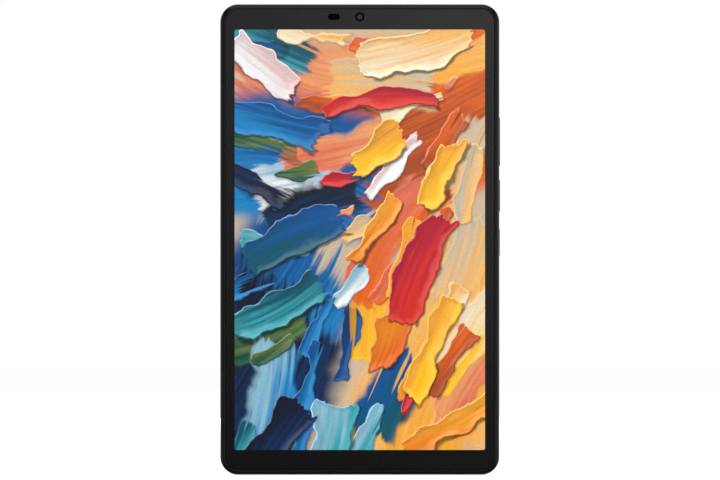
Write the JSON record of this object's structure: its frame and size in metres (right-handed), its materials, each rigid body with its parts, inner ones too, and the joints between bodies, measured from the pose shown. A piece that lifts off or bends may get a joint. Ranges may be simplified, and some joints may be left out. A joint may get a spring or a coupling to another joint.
{
  "type": "tablet computer",
  "caption": "Slim handheld touch-screen tablet with a glass front, rounded graphite housing, side keys, card tray, two cameras, speakers and a charging port.",
  "frame": {"origin": "middle of the bottom edge: centred left to right and front to back, on the bottom edge's plane", "axes": "+Z from the bottom edge to the top edge, -Y out of the screen, +X towards the side with the keys"},
  "size_m": [0.1257, 0.0098, 0.2114],
  "materials": {
    "housing": "fine matt texture",
    "frame": "matt",
    "black_plastic": "satin",
    "cover_glass": "polished",
    "lens_glass": "polished, coated",
    "display": "polarised sheet",
    "film": "translucent sheet",
    "white_film": "white reflector",
    "steel": "stamped sheet",
    "dark_metal": "anodised, satin",
    "circuit_board": "solder mask over glass fibre",
    "chip": "moulded resin",
    "flex": "polyimide over copper",
    "foil": "laminated foil pouch",
    "rubber": "matt",
    "lamp": "lamp strip"
  },
  "bodies": {
    "chassis": {"backlight_tray": "steel", "battery": "foil", "battery_flex": "flex", "battery_tape": "rubber", "bottom_speaker": "black_plastic", "bottom_speaker_mesh": "dark_metal", "card_socket": "steel", "cellular_antenna": "flex", "cover_glass": "cover_glass", "diffuser_film": "film", "display_flex": "flex", "front_camera_lens": "lens_glass", "front_camera_module": "black_plastic", "glass_tape": "rubber", "headphone_jack": "black_plastic", "key_bracket": "steel", "key_flex": "flex", "lcd_panel": "display", "led_strip": "lamp", "light_guide": "film", "light_sensor": "black_plastic", "main_board": "circuit_board", "main_flex": "flex", "microphone": "steel", "mid_frame": "frame", "optical_adhesive": "film", "power_chip": "chip", "power_dome": "steel", "processor_chip": "chip", "processor_shield": "steel", "radio_chip": "chip", "radio_shield": "steel", "rear_camera_module": "dark_metal", "rear_camera_ring": "dark_metal", "rear_camera_window": "lens_glass", "rear_cover": "housing", "reflector_film": "white_film", "screw_1": "steel", "screw_2": "steel", "screw_3": "steel", "screw_4": "steel", "screw_5": "steel", "screw_6": "steel", "storage_chip": "chip", "top_speaker": "black_plastic", "top_speaker_mesh": "dark_metal", "usb_board": "circuit_board", "usb_c_shell": "steel", "usb_c_tongue": "black_plastic", "volume_down_dome": "steel", "volume_up_dome": "steel", "wifi_antenna": "flex"},
    "volume_key": {"volume_rocker": "housing"},
    "power_key": {"power_button": "housing"},
    "tray": {"card_tray": "housing", "tray_gasket": "rubber"},
    "rod": {"eject_rod": "steel"},
    "lever": {"eject_lever": "steel"},
    "focus_lens": {"rear_camera_lens": "black_plastic"}
  },
  "joints": [
    {"name": "volume_rocker_tilt", "type": "hinge", "parent": "chassis", "child": "volume_key", "pos_m": [0.0602, 0.0006, 0.1496], "axis": [0, 1, 0], "range_deg": [-1.6, 1.6]},
    {"name": "power_button_press", "type": "slide", "parent": "chassis", "child": "power_key", "axis": [-1, 0, 0], "range_m": [0, 0.00025]},
    {"name": "card_tray_slide", "type": "slide", "parent": "chassis", "child": "tray", "axis": [1, 0, 0], "range_m": [0, 0.024]},
    {"name": "eject_rod_push", "type": "slide", "parent": "chassis", "child": "rod", "axis": [-1, 0, 0], "range_m": [0, 0.001]},
    {"name": "eject_lever_turn", "type": "hinge", "parent": "chassis", "child": "lever", "pos_m": [0.04285, 0.0006, 0.1085], "axis": [0, -1, 0], "range_deg": [0, 13.8]},
    {"name": "rear_lens_focus", "type": "slide", "parent": "chassis", "child": "focus_lens", "axis": [0, 1, 0], "range_m": [0, 0.00025]}
  ],
  "couplings": [
    {"joint": "eject_lever_turn", "follows": "eject_rod_push", "rad_per_m": 239.2}
  ]
}
